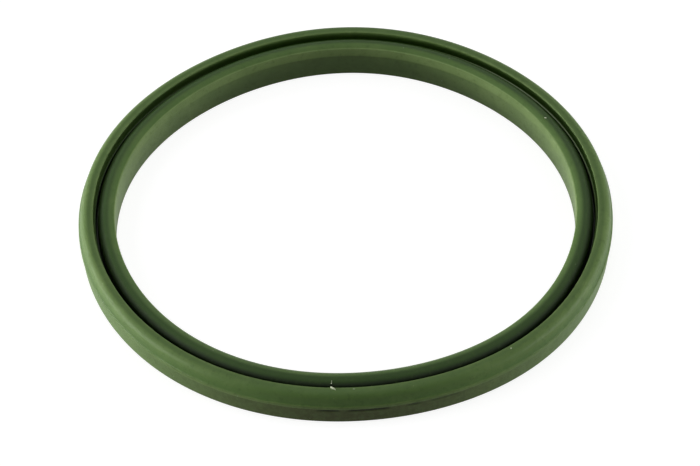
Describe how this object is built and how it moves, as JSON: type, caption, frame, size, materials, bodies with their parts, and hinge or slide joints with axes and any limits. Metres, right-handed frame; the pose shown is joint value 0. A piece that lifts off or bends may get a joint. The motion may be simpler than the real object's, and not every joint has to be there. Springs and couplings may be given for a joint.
{
  "type": "sealing ring",
  "caption": "Flat round rubber sealing ring: a plain bore wall and a tapered outer lip on one base, with a narrow groove between them, that seals a push-on pipe joint.",
  "frame": {"origin": "the middle of the flat underside, on the ring's axis", "axes": "+Z along the ring's axis, from the flat underside to the grooved side; X and Y lie across the ring, which is round"},
  "size_m": [0.076, 0.076, 0.0052],
  "materials": {
    "moulded_rubber": "moulded green rubber, semi-matt with broad soft reflections"
  },
  "bodies": {
    "root": {"sealing_ring": "moulded_rubber"}
  },
  "joints": []
}
